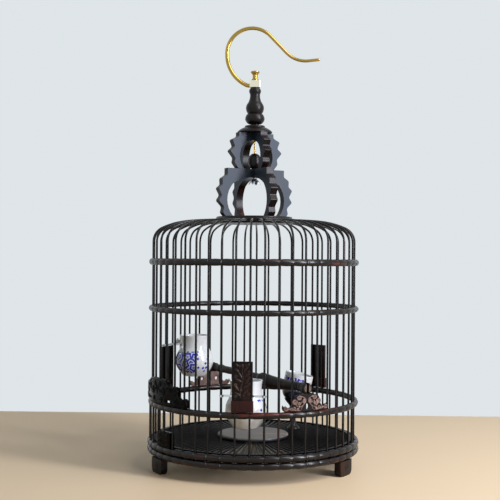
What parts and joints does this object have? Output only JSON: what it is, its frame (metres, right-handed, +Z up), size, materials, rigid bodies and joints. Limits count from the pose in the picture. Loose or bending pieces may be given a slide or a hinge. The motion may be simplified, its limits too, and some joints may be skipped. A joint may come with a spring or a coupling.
{
  "type": "bird cage",
  "caption": "Round bamboo bird cage with hoops, carved lift gates, a curved door lintel, a two-tier toothed crown, a gourd finial and a swivelling brass hook",
  "frame": {"origin": "on the table under the middle of the cage", "axes": "+Z up along the cage's axis, -Y the front with the middle lift gate, +X to the right"},
  "size_m": [0.3356, 0.3356, 0.6979],
  "materials": {
    "bars": "near-black red-brown lacquered bamboo, satin",
    "hoops": "red-brown bamboo, glossy lacquer",
    "dark_wood": "ebonised wood, satin",
    "carved_wood": "carved brown wood, waxed",
    "red_wood": "red-brown wood, satin lacquer",
    "floor_wood": "grey weathered bamboo, matt",
    "branch": "dark natural branch, waxed",
    "light_wood": "pale wood, satin",
    "brass": "brass, polished",
    "steel": "grey-blue steel, brushed",
    "porcelain": "white glazed porcelain with blue sprays"
  },
  "bodies": {
    "cage": {"bars_front": "bars", "bars_right": "bars", "bars_rear": "bars", "bars_left": "bars", "bars_over_gates": "bars", "bars_over_door": "bars", "base_ring_lower": "hoops", "base_ring_upper": "hoops", "gate_hoop": "hoops", "middle_hoop": "hoops", "shoulder_hoop": "hoops", "foot_left": "carved_wood", "foot_right": "carved_wood", "foot_rear": "carved_wood", "floor_rim": "floor_wood", "floor_slats": "floor_wood", "floor_board": "floor_wood", "top_plate": "dark_wood", "lower_tier_board_a": "dark_wood", "lower_tier_board_b": "dark_wood", "upper_tier_board_a": "dark_wood", "upper_tier_board_b": "dark_wood", "crown_cap": "dark_wood", "gourd": "dark_wood", "crown_bead": "dark_wood", "petal_washer": "steel", "shank_nut": "brass", "shank": "brass", "knob": "brass", "door_keeper": "carved_wood", "perch_bracket_front": "carved_wood", "perch_bracket_rear": "carved_wood", "front_cup_hanger": "steel", "left_cup_hanger": "steel", "rear_cup_stand": "dark_wood"},
    "hook_swivel": {"swivel_block": "brass", "hook": "brass"},
    "front_gate": {"front_gate_block": "red_wood", "front_gate_plaque": "carved_wood", "front_gate_rods": "bars"},
    "left_gate": {"left_gate_block": "red_wood", "left_gate_plaque": "carved_wood", "left_gate_rods": "bars"},
    "rear_gate": {"rear_gate_block": "red_wood", "rear_gate_plaque": "carved_wood", "rear_gate_rods": "bars"},
    "main_door": {"door_lintel": "carved_wood", "door_rods": "bars"},
    "perch": {"perch_branch": "branch", "perch_bead": "dark_wood", "perch_fork_front": "light_wood", "perch_fork_rear": "light_wood"},
    "seed_cup_front": {"front_cup": "porcelain"},
    "seed_cup_left": {"left_cup": "porcelain"},
    "seed_cup_rear": {"rear_cup": "porcelain"}
  },
  "joints": [
    {"name": "hook_turn", "type": "hinge", "parent": "cage", "child": "hook_swivel", "pos_m": [0, 0, 0.6053], "axis": [0, 0, 1], "continuous": true},
    {"name": "front_gate_lift", "type": "slide", "parent": "cage", "child": "front_gate", "axis": [0, 0, 1], "range_m": [0, 0.06]},
    {"name": "left_gate_lift", "type": "slide", "parent": "cage", "child": "left_gate", "axis": [0, 0, 1], "range_m": [0, 0.06]},
    {"name": "rear_gate_lift", "type": "slide", "parent": "cage", "child": "rear_gate", "axis": [0, 0, 1], "range_m": [0, 0.06]},
    {"name": "main_door_lift", "type": "slide", "parent": "cage", "child": "main_door", "axis": [0, 0, 1], "range_m": [0, 0.06]},
    {"name": "perch_lift", "type": "slide", "parent": "cage", "child": "perch", "axis": [0, 0, 1], "range_m": [0, 0.09]},
    {"name": "front_cup_lift", "type": "slide", "parent": "cage", "child": "seed_cup_front", "axis": [0, 0, 1], "range_m": [0, 0.012]},
    {"name": "left_cup_lift", "type": "slide", "parent": "cage", "child": "seed_cup_left", "axis": [0, 0, 1], "range_m": [0, 0.012]},
    {"name": "rear_cup_lift", "type": "slide", "parent": "cage", "child": "seed_cup_rear", "axis": [0.225, 0, 0.9744], "range_m": [0, 0.02]}
  ]
}
